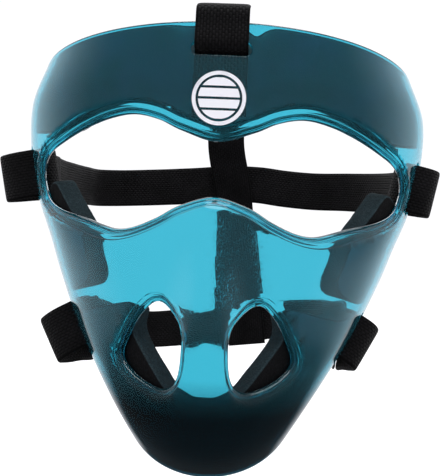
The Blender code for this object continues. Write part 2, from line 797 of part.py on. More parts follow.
def new_material(name, colour, roughness, metallic=0.0, transmission=0.0):
    material = bpy.data.materials.new(name)
    material.use_nodes = True
    shader = material.node_tree.nodes["Principled BSDF"]
    shader.inputs["Base Color"].default_value = (*colour, 1)
    shader.inputs["Roughness"].default_value = roughness
    shader.inputs["Metallic"].default_value = metallic
    shader.inputs["Transmission Weight"].default_value = transmission
    material.diffuse_color = (*colour, 1)
    return material


def clear_scene():
    for obj in list(bpy.data.objects):
        bpy.data.objects.remove(obj, do_unlink=True)


def build():
    clear_scene()
    clear = new_material("clear_teal_plastic", (0.03, 0.45, 0.62), 0.06, transmission=1.0)
    foam = new_material("black_foam", (0.02, 0.022, 0.024), 0.85)
    elastic = new_material("black_elastic", (0.012, 0.012, 0.014), 0.7)
    new_object("shell", shell_mesh(CELL, 3), clear)
    for name, loop in pad_outlines().items():
        new_object(name, pad_mesh(name, loop, CELL), foam)
    for name in ("upper", "lower"):
        new_object(name + "_strap", ribbon_mesh(*band_stations(name)), elastic)
    new_object("top_strap", ribbon_mesh(*top_strap_stations()), elastic)


build()
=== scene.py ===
import math
from collections import namedtuple

import bmesh
import bpy
import numpy as np
from mathutils import Matrix
from mathutils.geometry import delaunay_2d_cdt


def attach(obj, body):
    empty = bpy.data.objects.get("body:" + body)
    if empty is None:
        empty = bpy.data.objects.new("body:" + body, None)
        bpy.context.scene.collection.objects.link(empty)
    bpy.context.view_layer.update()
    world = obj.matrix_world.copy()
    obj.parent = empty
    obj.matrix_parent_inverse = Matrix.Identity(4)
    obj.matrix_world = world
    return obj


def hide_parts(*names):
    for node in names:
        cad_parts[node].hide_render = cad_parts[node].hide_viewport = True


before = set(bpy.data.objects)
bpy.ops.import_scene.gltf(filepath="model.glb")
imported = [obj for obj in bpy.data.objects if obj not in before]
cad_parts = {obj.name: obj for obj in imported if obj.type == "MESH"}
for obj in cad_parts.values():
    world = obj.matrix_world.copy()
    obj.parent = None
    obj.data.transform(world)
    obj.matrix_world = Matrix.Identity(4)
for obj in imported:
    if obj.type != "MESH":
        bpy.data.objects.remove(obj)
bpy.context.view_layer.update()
print("frame loaded:", ", ".join(sorted(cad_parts)))

# The mask faces -Y, +X is its left as worn, and the origin lies on the inner face of
# the forehead pad. Metres everywhere. Every piece is laid out on one curved face, by
# round: share of the way from the centre line to the rear edge, and
# up: share of the way from the chin edge to the top rim.
shellForm = {
    "height": 0.204,        # chin edge to top rim at the centre line
    "width": 0.200,         # across the temples
    "depth": 0.072,         # brow to rear edge
    "wall": 0.0025,
    "noseReach": 0.030,     # nose tip in front of the brow
    "ridgeHalf": 0.0134,    # nose ridge, centre line to where it stands a third as far out
    "rimAboveSeat": 0.036,  # top rim above the origin
    "edgeFlare": 0.0040,    # how far the rear edge turns outwards
    "sweep": math.radians(80),
    "flareStart": 0.93,     # share of the way round where it begins
    "flareCurve": 1.5,
    "girth": 1.25,          # length round the face of a section, by its width
    "edgeRound": 0.0009,    # rounding of the rim and the slots
    "eyeLip": (0.0058, 0.0066),   # radius and depth of the rolled lip
    "ventLip": (0.0034, 0.0044),
    "slimLoss": 0.40,       # how much smaller the eye lip gets at its outer corners
    "slimFrom": 0.45,       # between these shares of the way round
    "slimTo": 0.78,
    "slotGap": 0.0060,
    "cell": 0.0022,         # mesh on the face
    "lipCell": 0.8,         # by the cell: mesh along a lip
    "slotCell": 0.7,        # by the cell: mesh along a slot
    "guideCell": 0.004,     # mesh of a lip's edge that is only measured from
    "lipTurns": 8,          # facets round a lip
    "edgeTurns": 4,         # facets round the other edges
}

padForm = {
    "thickness": 0.010,
    "glue": {               # between a pad and the shell
        "forehead_pad": 0.0002,
        "cheek_pad_left": 0.0002,
        "cheek_pad_right": 0.0002,
        "chin_pad": 0.0004,
    },
    "channelSide": 0.0035,  # room beside the tail of the top strap
    "channelSlope": 0.010,
    "lipCover": 1.25,       # by a lip's radius: where the pad lies deepest behind it
    "lipRelease": 3.0,      # and from where on it follows the shell again
    "edgeRound": 0.0011,    # the knife leaves the cut edge slightly rounded
    "edgeTurns": 3,
    "cornerTurns": 5,       # how often each corner of an outline is evened out
    "unlitEdge": 0.008,      # width beside an opening left without painted light
    "shadeFrom": 0.30,       # the chin pad's painted light gives way to painted shade from this height
    "shadeTo": 0.15,        # down to this one
    "lightLeft": 0.10,      # where this share of the painted light is left
    "crown": 0.0008,        # swell of the face towards the head
    "crownFrom": 0.002,     # it rises between these distances from the edge
    "crownTo": 0.020,
    "cell": 0.0030,
}

strapForm = {
    "width": 0.024,
    "thickness": 0.0018,
    "gap": 0.0003,          # between pieces that touch
    "headReach": 0.215,     # brow to the straps behind the head
    "crownRise": 0.027,     # top strap above the top rim
    "topTail": 0.030,       # end of the top strap, below its slot
    "backSway": 0.014,      # how far the top strap wanders sideways behind the head
    "loopReach": 0.040,     # slot to where the two layers of a side loop meet
    "loopSink": 0.0052,     # inner layer of a side loop, behind its slot
    "leanStart": 0.3,       # by loopReach: a side loop lies along its slot up to here
    "leanEnd": 1.6,         # by loopReach: it stands upright from here on
    "step": 0.0016,         # mesh along a strap
    "profile": (0, 0.3, 0.6, 0.86, 0.94, 0.985, 1),  # and across it, by half its width
    "flatness": 14,         # how square its edges are
}

# Outer layer of each side loop, before its slot; 1 is the side at +X
loopBulge = {
    ("upper", 1): 0.0105,
    ("upper", -1): 0.0165,
    ("lower", 1): 0.0085,
    ("lower", -1): 0.0155,
}

# Sections of the outer face from the chin edge to the top rim. up, and lift of the rear
# edge above it: by the shell's height. width: by half its width. front and ridge: by
# noseReach. rear: by its depth. point: 1 is an ellipse, more is sharper. flare: by edgeFlare
Section = namedtuple("Section", "up lift width front rear point ridge flare")
sections = [
    Section(0.000, 0.115, 0.405, -0.35, 0.60, 1.00, 0.00, 0.06),
    Section(0.055, 0.128, 0.494, 0.22, 0.71, 1.05, 0.00, 0.06),
    Section(0.130, 0.130, 0.606, 0.60, 0.80, 1.20, 0.02, 0.06),
    Section(0.230, 0.110, 0.716, 0.70, 0.87, 1.30, 0.14, 0.06),
    Section(0.350, 0.080, 0.806, 0.56, 0.93, 1.30, 0.40, 0.06),
    Section(0.475, 0.040, 0.874, 0.26, 0.97, 1.15, 0.32, 0.06),
    Section(0.620, 0.005, 0.960, 0.06, 1.00, 1.00, 0.10, 0.05),
    Section(0.745, -0.010, 1.003, 0.00, 1.00, 0.95, 0.00, 0.04),
    Section(0.870, -0.028, 1.003, 0.00, 0.99, 0.95, 0.00, 0.04),
    Section(1.000, -0.068, 0.925, -0.12, 0.94, 0.95, 0.00, 0.04),
]

Spot = namedtuple("Spot", "round up")
eyeOutline = [  # the half at +X, from the dip under the brow to the hump over the nose
    Spot(0.000, 0.741), Spot(0.120, 0.761), Spot(0.200, 0.784), Spot(0.290, 0.796), Spot(0.390, 0.788),
    Spot(0.500, 0.768), Spot(0.620, 0.740), Spot(0.742, 0.707), Spot(0.822, 0.655), Spot(0.806, 0.600),
    Spot(0.700, 0.570), Spot(0.530, 0.552), Spot(0.400, 0.538), Spot(0.310, 0.545), Spot(0.210, 0.570),
    Spot(0.120, 0.602), Spot(0.000, 0.624),
]
ventOutline = [  # the vent at +X, clockwise from its top
    Spot(0.190, 0.391), Spot(0.265, 0.361), Spot(0.350, 0.293), Spot(0.400, 0.243), Spot(0.360, 0.219),
    Spot(0.280, 0.206), Spot(0.190, 0.204), Spot(0.128, 0.230), Spot(0.106, 0.285), Spot(0.112, 0.345),
]
foreheadOutline = [  # the half at +X, from the top down the side and back to the middle
    Spot(0.500, 0.997), Spot(0.996, 0.996), Spot(0.996, 0.900), Spot(0.996, 0.785), Spot(0.700, 0.766),
    Spot(0.590, 0.770), Spot(0.500, 0.803), Spot(0.400, 0.827), Spot(0.290, 0.836), Spot(0.190, 0.822),
    Spot(0.110, 0.794), Spot(0.000, 0.776),
]
foreheadNotch = [  # in its top edge beside the strap
    Spot(0.106, 0.997), Spot(0.106, 0.966), Spot(0.148, 0.984), Spot(0.135, 0.997),
]
cheekOutline = [  # the pad at +X, clockwise from its top corner near the eye
    Spot(0.720, 0.652), Spot(0.840, 0.625), Spot(0.870, 0.585), Spot(0.996, 0.560), Spot(0.996, 0.314),
    Spot(0.790, 0.318), Spot(0.660, 0.352), Spot(0.545, 0.388), Spot(0.510, 0.425), Spot(0.570, 0.495),
    Spot(0.645, 0.570),
]
chinOutline = [  # the half at +X, from over the chin round the slot to the bottom
    Spot(0.000, 0.180), Spot(0.090, 0.182), Spot(0.190, 0.195), Spot(0.250, 0.238), Spot(0.305, 0.282),
    Spot(0.352, 0.318), Spot(0.315, 0.358), Spot(0.275, 0.386), Spot(0.375, 0.368), Spot(0.490, 0.340),
    Spot(0.640, 0.306), Spot(0.800, 0.298), Spot(0.795, 0.118), Spot(0.996, 0.110), Spot(0.996, 0.002),
    Spot(0.500, 0.002), Spot(0.250, 0.002),
]

# Slots for the straps: length in metres, along the rim (across) or the rear edge (up)
Slot = namedtuple("Slot", "round up length along")
slots = {
    "top": Slot(0.0, 0.940, 0.0275, "across"),
    "upper": Slot(0.915, 0.672, 0.0265, "up"),
    "lower": Slot(0.870, 0.214, 0.0265, "up"),
}

# Side loops from the tail inside the shell out through the slot to the band behind.
# back: by loopReach. sunk: 1 behind the wall, 0 before it. bulged: by loopBulge
Turn = namedtuple("Turn", "back sunk bulged")
loopTurns = [
    Turn(1.25, 0.00, 0.00), Turn(0.80, 0.25, 0.00), Turn(0.45, 0.80, 0.00), Turn(0.18, 1.00, 0.00),
    Turn(0.03, 0.62, 0.00), Turn(0.00, 0.00, 0.12), Turn(0.05, 0.00, 0.65), Turn(0.18, 0.00, 1.00),
    Turn(0.42, 0.00, 0.88), Turn(0.70, 0.00, 0.42), Turn(1.00, 0.00, 0.05),
]

# Bands behind the head from +X to -X: side by half the shell's width, back by
# headReach, rise above the slots by the strap's width
Run = namedtuple("Run", "side back rise")
bandRuns = {
    "upper": [
        Run(0.94, 0.58, 0.03), Run(0.87, 0.75, 0.10), Run(0.73, 0.88, 0.16), Run(0.50, 0.955, 0.18),
        Run(0.32, 0.982, 0.24), Run(0.18, 0.996, 0.31), Run(-0.02, 1.000, 0.31),
        Run(-0.25, 1.000, 0.22), Run(-0.55, 0.998, 0.12), Run(-0.76, 0.985, 0.06),
        Run(-0.86, 0.945, 0.03), Run(-0.91, 0.840, 0.02), Run(-0.95, 0.640, 0.01),
    ],
    "lower": [
        Run(0.72, 0.56, -0.05), Run(0.68, 0.74, -0.15), Run(0.60, 0.90, -0.20), Run(0.45, 0.975, -0.26),
        Run(0.29, 0.999, -0.34), Run(0.10, 1.000, -0.52), Run(-0.27, 1.000, -0.64),
        Run(-0.50, 0.992, -0.74), Run(-0.64, 0.945, -0.70), Run(-0.71, 0.800, -0.52),
        Run(-0.75, 0.600, -0.28),
    ],
}

# Top strap over the crown: back by headReach, rise by crownRise, sway by backSway
Crown = namedtuple("Crown", "back rise sway")
crownRun = [
    Crown(0.000, 0.10, 0.00), Crown(0.004, 0.20, 0.00), Crown(0.018, 0.27, 0.00),
    Crown(0.050, 0.33, 0.00), Crown(0.130, 0.50, -0.05), Crown(0.300, 0.80, -0.15),
    Crown(0.500, 1.00, -0.30), Crown(0.680, 0.93, -0.42), Crown(0.830, 0.58, -0.50),
    Crown(0.930, 0.05, -0.50), Crown(0.978, -0.65, -0.45),
]

# Where it passes out through its slot: above by slotGap, sunk from 0 in front to 1 behind
Thread = namedtuple("Thread", "above sunk")
topThread = [
    Thread(-0.62, 1.00), Thread(-0.24, 0.95), Thread(-0.05, 0.72),
    Thread(0.05, 0.21), Thread(0.24, 0.05), Thread(0.62, 0.00),
]

# Where it hangs inside both bands: down from the upper one to the lower one, over that
# by the strap's width
Drop = namedtuple("Drop", "down over sway")
backDrop = [
    Drop(0.0, 1.00, -0.40), Drop(0.0, 0.00, -0.05), Drop(0.5, 0.00, 0.40),
    Drop(1.0, 0.00, 0.90), Drop(1.0, -0.45, 1.00),
]


def smoothThrough(places, values, wanted):  # a smooth curve through values, read at wanted places
    places, values, wanted = (np.asarray(a, float) for a in (places, values, wanted))
    slopes = np.gradient(values, places)
    row = np.clip(np.searchsorted(places, wanted) - 1, 0, len(places) - 2)
    span = places[row + 1] - places[row]
    t = (wanted - places[row]) / span
    s = np.clip(t, 0, 1)
    curve = (
        (2 * s**3 - 3 * s**2 + 1) * values[row]
        + (s**3 - 2 * s**2 + s) * span * slopes[row]
        + (3 * s**2 - 2 * s**3) * values[row + 1]
        + (s**3 - s**2) * span * slopes[row + 1]
    )
    endSlope = np.where(t < 0, slopes[row], slopes[row + 1])
    return curve + (t - s) * span * endSlope


def fade(distance, full, none):  # 1 up to full, 0 from none on
    t = np.clip((none - distance) / (none - full), 0, 1)
    return t * t * (3 - 2 * t)


def unit(vectors):
    return vectors / np.linalg.norm(vectors, axis=-1, keepdims=True)


def lengthAlong(points):  # from the first point to each
    return np.concatenate([[0], np.cumsum(np.linalg.norm(np.diff(points, axis=0), axis=1))])


def browPlane():
    return -(shellForm["wall"] + padForm["glue"]["forehead_pad"] + padForm["thickness"])


def sectionColumn(name, up):
    return smoothThrough([s.up for s in sections], [getattr(s, name) for s in sections], up)


def faceAt(across, up):  # outer face of the shell; across runs from -1 to 1
    across, up = np.asarray(across, float), np.asarray(up, float)
    sweep, reach, height = shellForm["sweep"], shellForm["noseReach"], shellForm["height"]
    turn = np.abs(across) * sweep
    point = sectionColumn("point", up)
    bend = (1 - np.cos(turn) ** point) / (1 - math.cos(sweep) ** point)
    front = -reach * sectionColumn("front", up)
    rear = shellForm["depth"] * sectionColumn("rear", up)
    x = shellForm["width"] / 2 * sectionColumn("width", up) * np.sin(turn) / math.sin(sweep)
    ridge = reach * sectionColumn("ridge", up) * np.exp(-((x / shellForm["ridgeHalf"]) ** 2))
    y = browPlane() + front + (rear - front) * bend - ridge
    z = shellForm["rimAboveSeat"] - height + height * (up + sectionColumn("lift", up) * bend)
    start = shellForm["flareStart"]
    flared = np.clip((np.abs(across) - start) / (1 - start), 0, 1)
    x = x + shellForm["edgeFlare"] * sectionColumn("flare", up) * flared ** shellForm["flareCurve"]
    return np.stack([np.sign(across) * x, y, z], axis=-1)


def faceSlopes(across, up, step=1e-4):
    alongAcross = (faceAt(across + step, up) - faceAt(across - step, up)) / (2 * step)
    alongUp = (faceAt(across, up + step) - faceAt(across, up - step)) / (2 * step)
    return alongAcross, alongUp


def faceNormal(across, up):
    return unit(np.cross(*faceSlopes(across, up)))


def behindFace(across, up, depth):
    return faceAt(across, up) - np.asarray(depth, float)[..., None] * faceNormal(across, up)


def pointsOf(spots):
    return faceAt(spots[:, 0], spots[:, 1])


def walkOnFace(across, up, vectors, steps=3):  # shares reached by walking along vectors in metres
    across, up = np.array(across, float), np.array(up, float)
    for _ in range(steps):
        a, b = faceSlopes(across, up)
        aa, bb, ab = (a * a).sum(-1), (b * b).sum(-1), (a * b).sum(-1)
        va, vb = (a * vectors).sum(-1) / steps, (b * vectors).sum(-1) / steps
        det = aa * bb - ab * ab
        across = across + (va * bb - vb * ab) / det
        up = up + (vb * aa - va * ab) / det
    return across, up


def evenSpots(loop, cell):  # the same loop with its spots a cell apart
    ring = np.vstack([loop, loop[:1]])
    length = lengthAlong(pointsOf(ring))
    wanted = np.linspace(0, length[-1], round(length[-1] / cell), endpoint=False)
    return np.stack([np.interp(wanted, length, ring[:, k]) for k in range(2)], axis=-1)


def closedCurve(spots, cell, steps=24):  # a round outline through its spots
    corners = np.array(spots)
    fine = []
    for i in range(len(corners)):
        p0, p1, p2, p3 = (corners[(i + k - 1) % len(corners)] for k in range(4))
        t = np.linspace(0, 1, steps, endpoint=False)[:, None]
        fine.append(
            0.5 * (2 * p1 + (p2 - p0) * t + (2 * p0 - 5 * p1 + 4 * p2 - p3) * t**2
                   + (3 * p1 - p0 - 3 * p2 + p3) * t**3)
        )
    return evenSpots(np.concatenate(fine), cell)


def straightLoop(spots, cell):  # an outline of straight runs between its spots
    loop = []
    for one, two in zip(spots, spots[1:] + spots[:1]):
        ends = faceAt(np.array([one.round, two.round]), np.array([one.up, two.up]))
        count = max(1, round(float(np.linalg.norm(ends[1] - ends[0])) / cell))
        for k in range(count):
            loop.append(np.array(one) + (np.array(two) - np.array(one)) * k / count)
    return np.array(loop)


def mirrored(spots):
    return [Spot(-s.round, s.up) for s in reversed(spots)]


def slotFrame(slot, side):  # its centre, and the directions out, towards the edge and along
    across = side * slot.round
    a, b = faceSlopes(across, slot.up)
    out = faceNormal(across, slot.up)
    if slot.along == "up":
        along = unit(b)
        back = np.cross(along, out)
        back = back if back @ a * side > 0 else -back
    else:
        along = unit(a)
        back = np.cross(out, along)
        back = back if back @ b > 0 else -back
    return faceAt(across, slot.up), out, back, along


def slotEdge(slot, side, roundSteps=8):
    half = shellForm["slotGap"] / 2
    straight = slot.length / 2 - half
    _, _, back, along = slotFrame(slot, side)
    vectors = []
    for end in (1, -1):
        for k in range(roundSteps + 1):
            angle = math.pi * (k / roundSteps - 0.5)
            ahead = end * (straight + half * math.cos(angle))
            beside = end * half * math.sin(angle)
            vectors.append(ahead * along + beside * back)
    start = np.full(len(vectors), float(side * slot.round))
    across, up = walkOnFace(start, np.full(len(vectors), slot.up), np.array(vectors))
    return evenSpots(np.stack([across, up], axis=-1), shellForm["cell"] * shellForm["slotCell"])


def intoWall(edge):  # unit vectors on the face from a hole's edge into the wall
    points = pointsOf(edge)
    tangent = np.roll(points, -1, axis=0) - np.roll(points, 1, axis=0)
    outward = unit(np.cross(tangent, faceNormal(edge[:, 0], edge[:, 1])))
    if ((points - points.mean(axis=0)) * outward).sum() < 0:
        outward = -outward
    return outward


def besideEdge(edge, into, distance):
    return walkOnFace(edge[:, 0], edge[:, 1], into * np.reshape(distance, (-1, 1)))


# Front face of a lip from the skin to its edge, beside and sunk by the lip's radius:
# the mould left two soft steps in it
lipSteps = [
    (0.985, 0.012), (0.955, 0.045), (0.925, 0.078), (0.88, 0.097), (0.78, 0.122), (0.66, 0.152),
    (0.60, 0.180), (0.555, 0.222), (0.515, 0.262), (0.46, 0.290), (0.36, 0.335), (0.26, 0.400),
    (0.17, 0.490), (0.10, 0.600), (0.045, 0.740), (0.012, 0.880), (0.0, 1.0),
]


def edgeProfile(radius, depth, wall, turns):
    # How an edge rolls over from the front face to the back one, as places beside the
    # edge line and depths. A radius under the wall only rounds the edge off.
    inner = radius - wall
    lipped = np.all(inner > 0)
    tip = wall / 2 if lipped else radius
    profile = []
    if lipped:
        profile += [(beside * radius, sunk * radius) for beside, sunk in lipSteps]
    else:
        for k in range(1, turns + 1):
            angle = math.pi / 2 * k / turns
            profile.append((radius - radius * math.sin(angle), radius - radius * math.cos(angle)))
    profile.append((0.0, (radius + depth - tip) / 2))
    sweep = math.pi if lipped else math.pi / 2
    for k in range(turns + 1):
        angle = sweep * k / turns
        profile.append((tip - tip * math.cos(angle), depth - tip + tip * math.sin(angle)))
    if lipped:
        for k in range(turns, 0, -1):
            angle = math.pi / 2 * k / turns
            profile.append((radius - inner * math.sin(angle), radius - inner * math.cos(angle)))
    return profile


def edgeRings(edge, into, profile):
    return [behindFace(*besideEdge(edge, into, beside), depth) for beside, depth in profile]


def insideLoop(spots, loop):
    x, y = spots[:, 0][:, None], spots[:, 1][:, None]
    x0, y0 = loop[:, 0], loop[:, 1]
    x1, y1 = np.roll(x0, -1), np.roll(y0, -1)
    crosses = (y0 > y) != (y1 > y)
    with np.errstate(divide="ignore", invalid="ignore"):
        at = x0 + (y - y0) / (y1 - y0) * (x1 - x0)
    return (crosses & (x < at)).sum(axis=1) % 2 == 1


def nearestTo(spots, loop, batch=2000):  # a loop's point nearest to each spot, and how far it is
    points, ring = pointsOf(spots), pointsOf(loop)
    nearest, distance = [], []
    for first in range(0, len(points), batch):
        apart = np.linalg.norm(points[first:first + batch, None] - ring[None], axis=2)
        nearest.append(apart.argmin(axis=1))
        distance.append(apart.min(axis=1))
    return np.concatenate(nearest), np.concatenate(distance)


def distanceTo(spots, loop):
    return nearestTo(spots, loop)[1]


meshForm = {
    "rowPitch": 0.87,   # by the cell: rows of even triangles
    "firstSpot": 0.25,  # by the cell, and every other row half a cell further on
    "edgeRoom": 0.6,    # by the cell: inner spots keep this far from an edge
    "merging": 1e-7,
}


def gridSpots(cell, low, high):
    rows = max(2, round((high[1] - low[1]) * shellForm["height"] / cell / meshForm["rowPitch"]))
    spots = []
    for j in range(1, rows):
        up = low[1] + (high[1] - low[1]) * j / rows
        width = shellForm["width"] * shellForm["girth"] * float(sectionColumn("width", up))
        columns = max(2, round(width * (high[0] - low[0]) / 2 / cell))
        first = meshForm["firstSpot"] + (0.5 if j % 2 else 0.0)
        for i in range(columns):
            spots.append((low[0] + (high[0] - low[0]) * (i + first) / columns, up))
    return np.array(spots)


def meshOver(outer, holes, cell):  # spots and triangles between an outer loop and its holes
    room = cell * meshForm["edgeRoom"]
    spots = gridSpots(cell, outer.min(axis=0), outer.max(axis=0))
    spots = spots[insideLoop(spots, outer)]
    spots = spots[distanceTo(spots, outer) > room]
    for hole in holes:
        spots = spots[~insideLoop(spots, hole)]
        spots = spots[distanceTo(spots, hole) > room]
    scale = np.array([shellForm["width"] * shellForm["girth"] / 2 / shellForm["height"], 1.0])
    loops = [outer] + holes
    flat = np.vstack(loops + [spots]) * scale
    edges, first = [], 0
    for loop in loops:
        edges += [(first + i, first + (i + 1) % len(loop)) for i in range(len(loop))]
        first += len(loop)
    result = delaunay_2d_cdt([tuple(s) for s in flat], edges, [], 0, meshForm["merging"])
    found = np.array([tuple(f) for f in result[0]])
    triangles = np.array([tuple(t) for t in result[2]])
    place = {old: new for new, olds in enumerate(result[3]) for old in olds}
    indices, first = [], 0
    for loop in loops:
        indices.append([place[first + i] for i in range(len(loop))])
        first += len(loop)
    centres = found[triangles].mean(axis=1)
    keep = insideLoop(centres, found[indices[0]])
    for hole in indices[1:]:
        keep &= ~insideLoop(centres, found[hole])
    return found / scale, triangles[keep], indices


def joinLoops(bm, loops):
    for one, two in zip(loops, loops[1:]):
        for i in range(len(one)):
            j = (i + 1) % len(one)
            bm.faces.new((one[i], one[j], two[j], two[i]))


def newVerts(bm, points):
    return [bm.verts.new(p) for p in points]


def twoSheets(bm, triangles, front, back):
    for a, b, c in triangles:
        bm.faces.new((front[a], front[b], front[c]))
        bm.faces.new((back[c], back[b], back[a]))


def addObject(name, data):
    made = bpy.data.objects.new(name, data)
    bpy.context.scene.collection.objects.link(made)
    return made


def addMesh(name, bm, material):
    mesh = bpy.data.meshes.new(name)
    bm.to_mesh(mesh)
    bm.free()
    mesh.materials.append(material)
    return addObject(name, mesh)


def finishPiece(name, bm, material, replaced):
    bmesh.ops.recalc_face_normals(bm, faces=bm.faces)
    piece = addMesh(name, bm, material)
    piece.data.shade_smooth()
    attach(piece, "root")
    if replaced:
        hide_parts(*replaced)
    return piece


# Materials. addNode makes a shader node; inputs take values or other nodes' sockets
def newMaterial(name):
    material = bpy.data.materials.new(name)
    material.use_nodes = True
    tree = material.node_tree
    return material, tree, tree.nodes["Principled BSDF"]


def addNode(tree, kind, inputs=None, **settings):
    made = tree.nodes.new("ShaderNode" + kind)
    for name, value in settings.items():
        setattr(made, name, value)
    setInputs(tree, made, inputs or {})
    return made


def setInputs(tree, made, inputs):
    for name, value in inputs.items():
        socket = made.inputs[name]
        if isinstance(value, bpy.types.NodeSocket):
            tree.links.new(value, socket)
        else:
            socket.default_value = value


def calculate(tree, operation, a, b=0.0, c=0.0):
    return addNode(tree, "Math", {0: a, 1: b, 2: c}, operation=operation).outputs[0]


def multiply(tree, a, b):
    return calculate(tree, "MULTIPLY", a, b)


def mixColours(tree, factor, a, b, blend="MIX"):
    made = addNode(tree, "Mix", {0: factor, 6: a, 7: b}, data_type="RGBA", blend_type=blend)
    return made.outputs[2]


def spread(tree, value, between, to=(0.0, 1.0)):  # a value between two levels, as 0 to 1 or as given
    made = addNode(tree, "MapRange", {
        "Value": value,
        "From Min": between[0],
        "From Max": between[1],
        "To Min": to[0],
        "To Max": to[1],
    })
    return made.outputs[0]


def objectPlace(tree):
    return addNode(tree, "TexCoord").outputs["Object"]


def noise(tree, place, size, detail):  # size: lumps per metre
    return addNode(tree, "TexNoise", {"Vector": place, "Scale": size, "Detail": detail}).outputs[0]


def relief(tree, height, depth, strength=1.0, over=None):
    inputs = {"Strength": strength, "Distance": depth, "Height": height}
    if over is not None:
        inputs["Normal"] = over
    return addNode(tree, "Bump", inputs).outputs[0]


noiseBulk = (0.3, 0.7)   # most of a noise's values lie between these

shellFinish = {
    "film": (0.085, 0.56, 0.73, 1),       # tint of the skin
    "filmShadedLow": (0.012, 0.075, 0.115, 1),  # and below the vents: painted shade, the tint darkened there as the lower mask lies in shade
    "shadeHeights": (-0.137, -0.119),        # heights between which the painted shade sets in
    "passes": (0.40, 0.93, 0.95, 1),      # colour that the plastic lets through
    "density": 300.0,                     # how soon it takes the rest out, per metre
    "ior": 1.50,
    "clear": 0.955,                       # the rest is the plastic's own slight haze
    "polish": (0.015, 0.045),             # roughness from clean to handled
    "handledSize": 55.0,                  # patches that hands have dulled, per metre
    "handledShare": (0.45, 0.75),
    "scratchTurn": (0.3, 0.5, 0.2),       # fine scratches, drawn out one way
    "scratchSize": (2600, 160, 900),
    "scratchShare": (0.62, 0.80),
    "scratchDepth": 0.000010,
    "flowSize": 22.0,                     # slow waves left by the mould, per metre
    "flowDepth": 0.00008,
}


def makeShellMaterial():
    finish = shellFinish
    material, tree, shader = newMaterial("clear_teal_plastic")
    place = objectPlace(tree)
    flow = noise(tree, place, finish["flowSize"], 1.0)
    turn, size = finish["scratchTurn"], finish["scratchSize"]
    stretched = addNode(tree, "Mapping", {"Vector": place, "Rotation": turn, "Scale": size}).outputs[0]
    scratches = spread(tree, noise(tree, stretched, 1.0, 2.0), finish["scratchShare"])
    handled = spread(tree, noise(tree, place, finish["handledSize"], 4.0), finish["handledShare"])
    worn = calculate(tree, "MAXIMUM", handled, scratches)
    waves = relief(tree, flow, finish["flowDepth"])
    height = addNode(tree, "SeparateXYZ", {0: place}).outputs[2]
    # painted shade: the skin's tint darker towards the bottom
    deep = spread(tree, height, finish["shadeHeights"], (1.0, 0.0))
    setInputs(tree, shader, {
        "Base Color": mixColours(tree, deep, finish["film"], finish["filmShadedLow"]),
        "Roughness": spread(tree, worn, (0.0, 1.0), finish["polish"]),
        "Normal": relief(tree, scratches, finish["scratchDepth"], over=waves),
        "IOR": finish["ior"],
        "Transmission Weight": finish["clear"],
    })
    body = addNode(tree, "VolumeAbsorption", {"Color": finish["passes"], "Density": finish["density"]})
    tree.links.new(body.outputs[0], tree.nodes["Material Output"].inputs["Volume"])
    return material


foamFinish = {
    "head": (0.0040, 0.0042, 0.0050, 1),  # face towards the head, and bare foam
    "cut": (0.0220, 0.0370, 0.0440, 1),   # cut sides: painted light, lighter and teal as if lit through the teal shell
    "paintedLight": (0.360, 0.330, 0.400, 1),    # face under the shell: painted light, pale lavender for the reflections and light seen through the shell
    # painted light in the shell's teal
    "paintedLightCool": (0.150, 0.300, 0.270, 1),
    "paintedLightSpeck": 0.4,                    # share of the cells that still shows through the painted light
    "lightPatchSize": 38.0,                   # mottled patches of both painted light colours, per metre
    "lightPatchShare": (0.35, 0.65),
    "poreSize": 1500.0,                   # cells per metre
    "poreShare": (0.15, 0.75),            # from a cell's middle to its wall
    "poreShade": (0.65, 1.35),
    "poreDepth": 0.8,                     # by the grain's depth
    "grainSize": 420.0,
    "depth": 0.00030,
    "strength": (0.9, 0.2),               # of the relief, on bare foam and under the painted light
    "roughness": (0.72, 0.92),
    "specular": 0.12,
}


def makeFoamMaterial():
    finish = foamFinish
    material, tree, shader = newMaterial("black_foam")
    place = objectPlace(tree)
    marks = addNode(tree, "VertexColor", layer_name="side").outputs[0]
    side = addNode(tree, "SeparateColor", {0: marks}).outputs
    lightShare, cut = side[0], side[1]
    cells = addNode(tree, "TexVoronoi", {"Vector": place, "Scale": finish["poreSize"]})
    pores = cells.outputs["Distance"]
    grain = noise(tree, place, finish["grainSize"], 5.0)
    lightPatch = spread(tree, noise(tree, place, finish["lightPatchSize"], 6.0), finish["lightPatchShare"])
    # painted light: mottled pale and teal colour where light through the shell falls on the pads
    paintedLight = mixColours(tree, lightPatch, finish["paintedLight"], finish["paintedLightCool"])
    # painted light on the cut sides; the face towards the head stays black
    bare = mixColours(tree, cut, finish["head"], finish["cut"])
    filled = multiply(tree, lightShare, 1 - finish["paintedLightSpeck"])
    speck = spread(tree, pores, finish["poreShare"], finish["poreShade"])
    speck = mixColours(tree, filled, speck, (1, 1, 1, 1))
    colour = mixColours(tree, lightShare, bare, paintedLight)
    height = calculate(tree, "ADD", multiply(tree, pores, finish["poreDepth"]), grain)
    strength = spread(tree, lightShare, (0.0, 1.0), finish["strength"])
    setInputs(tree, shader, {
        "Base Color": mixColours(tree, 1.0, colour, speck, "MULTIPLY"),
        "Roughness": spread(tree, grain, noiseBulk, finish["roughness"]),
        "Specular IOR Level": finish["specular"],
        "Normal": relief(tree, height, finish["depth"], strength),
    })
    return material


